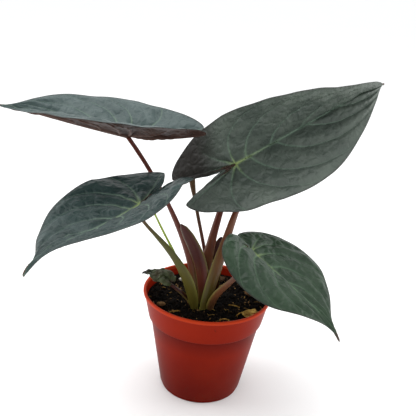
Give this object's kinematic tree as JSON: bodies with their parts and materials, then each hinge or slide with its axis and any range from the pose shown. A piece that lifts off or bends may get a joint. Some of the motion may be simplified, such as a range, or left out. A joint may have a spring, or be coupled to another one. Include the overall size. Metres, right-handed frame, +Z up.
{
  "type": "potted alocasia",
  "caption": "Potted plant with arrow-shaped leaves on long stalks rising from a crown in a tapered round nursery pot of soil.",
  "frame": {"origin": "centre of the pot's flat underside", "axes": "+Z up; the plant shows its front to -Y; +X to the right"},
  "size_m": [0.3475, 0.3262, 0.2957],
  "materials": {
    "pot_plastic": "thin moulded terracotta-red plastic, satin",
    "potting_mix": "dark moist peat crumbs",
    "rhizome_skin": "brown papery corm skin",
    "leaf_blade": "dark grey-green waxy leaf, satin, quilted between the veins",
    "leaf_stalk": "smooth maroon stalk fading to olive at the base",
    "leaf_sheath": "smooth dark purple sheath",
    "green_shoot": "smooth bright green shoot",
    "withered_leaf": "dull shrivelled leaf",
    "bark": "rough split bark",
    "perlite": "pale porous grain",
    "coir_fibre": "dry golden fibre"
  },
  "bodies": {
    "root": {"pot": "pot_plastic", "soil": "potting_mix", "rhizome": "rhizome_skin", "blade_upper_left": "leaf_blade", "blade_lower_left": "leaf_blade", "blade_upper_right": "leaf_blade", "blade_lower_right": "leaf_blade", "blade_back": "leaf_blade", "petiole_upper_left": "leaf_stalk", "petiole_lower_left": "leaf_stalk", "petiole_upper_right": "leaf_stalk", "petiole_lower_right": "leaf_stalk", "petiole_back": "leaf_stalk", "withered_blade": "withered_leaf", "withered_petiole": "withered_leaf", "young_spear": "leaf_sheath", "green_shoot": "green_shoot", "inner_sheath": "leaf_sheath", "outer_sheath": "leaf_sheath", "bark_chip_front": "bark", "bark_chip_left": "bark", "bark_chip_back": "bark", "bark_chip_right": "bark", "perlite_grain": "perlite", "fibre_front": "coir_fibre", "fibre_middle": "coir_fibre", "fibre_near": "coir_fibre", "fibre_left": "coir_fibre"}
  },
  "joints": []
}
